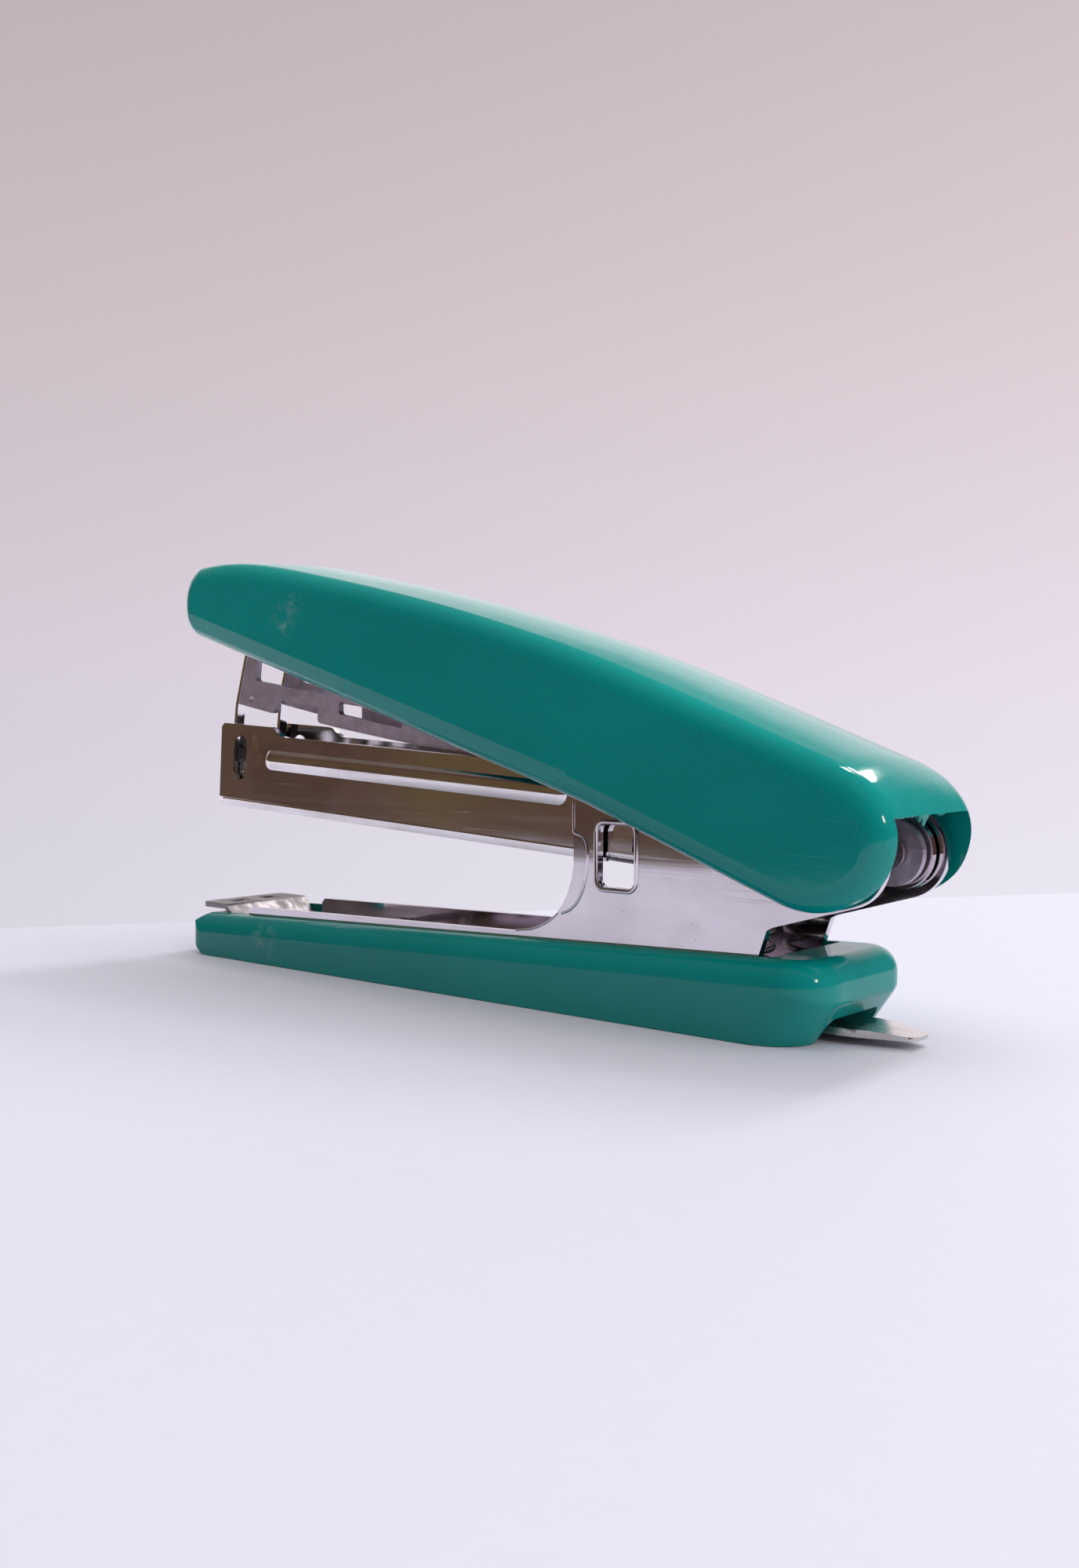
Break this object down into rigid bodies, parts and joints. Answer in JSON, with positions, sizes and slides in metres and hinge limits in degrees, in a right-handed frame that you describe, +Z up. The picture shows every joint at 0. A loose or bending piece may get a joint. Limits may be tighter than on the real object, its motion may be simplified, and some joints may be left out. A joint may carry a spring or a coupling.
{
  "type": "mini desk stapler",
  "caption": "Small desk stapler with a glossy plastic handle, plated steel magazine and frame, a wedge base with an anvil and a staple remover tongue.",
  "frame": {"origin": "centre of the flat underside of the base, on the surface it stands on", "axes": "+X towards the hinge and the staple remover, -X towards the thumb end and the anvil, +Y across the width, +Z up"},
  "size_m": [0.0966, 0.0186, 0.0484],
  "materials": {
    "green_plastic": "glossy moulded plastic, teal green",
    "chrome_plate": "bright plated pressed steel",
    "nickel_plate": "satin plated steel",
    "bright_steel": "bright steel",
    "dull_steel": "dull plated rivets",
    "screw_steel": "zinc plated screws",
    "spring_steel": "spring wire and strip",
    "rail_steel": "pressed steel",
    "staple_wire": "glued staple wire",
    "pusher_steel": "pressed steel",
    "arm_steel": "matt grey plated steel",
    "blade_steel": "polished hardened steel"
  },
  "bodies": {
    "base": {"base_cover": "green_plastic", "base_frame": "chrome_plate", "anvil_plate": "nickel_plate", "staple_remover": "bright_steel", "remover_rivet": "dull_steel", "base_screw_front": "screw_steel", "base_screw_rear": "screw_steel", "pivot_rivet_near": "dull_steel", "pivot_rivet_far": "dull_steel", "return_spring": "spring_steel"},
    "magazine": {"magazine_channel": "chrome_plate", "front_guide": "chrome_plate", "staple_rail": "rail_steel", "staple_strip": "staple_wire", "guide_rod": "bright_steel", "spring_seat": "rail_steel", "pusher_spring": "spring_steel", "handle_spring": "spring_steel"},
    "pusher": {"pusher": "pusher_steel"},
    "lift_leaf": {"lift_leaf": "spring_steel"},
    "handle": {"handle_cover": "green_plastic", "driver_arm": "arm_steel", "driver_blade": "blade_steel", "handle_screw_front": "screw_steel", "handle_screw_rear": "screw_steel"}
  },
  "joints": [
    {"name": "magazine_tilt", "type": "hinge", "parent": "base", "child": "magazine", "pos_m": [0.0446, 0, 0.017], "axis": [0, 1, 0], "range_deg": [-7.8, 0], "stiffness_Nm_per_rad": 0.6, "springref_deg": 3.44, "deforming": ["return_spring"]},
    {"name": "pusher_slide", "type": "slide", "parent": "magazine", "child": "pusher", "axis": [0.9984, 0, -0.0558], "range_m": [0, 0.012], "stiffness_N_per_m": 25, "springref_m": -0.02, "deforming": ["pusher_spring"]},
    {"name": "press", "type": "hinge", "parent": "magazine", "child": "lift_leaf", "pos_m": [0.0446, 0, 0.017], "axis": [0, 1, 0], "range_deg": [-4.2, 0], "stiffness_Nm_per_rad": 0.5, "springref_deg": 3.44, "deforming": ["handle_spring"]},
    {"name": "handle_open", "type": "hinge", "parent": "lift_leaf", "child": "handle", "pos_m": [0.0446, 0, 0.017], "axis": [0, 1, 0], "range_deg": [0, 100]}
  ]
}
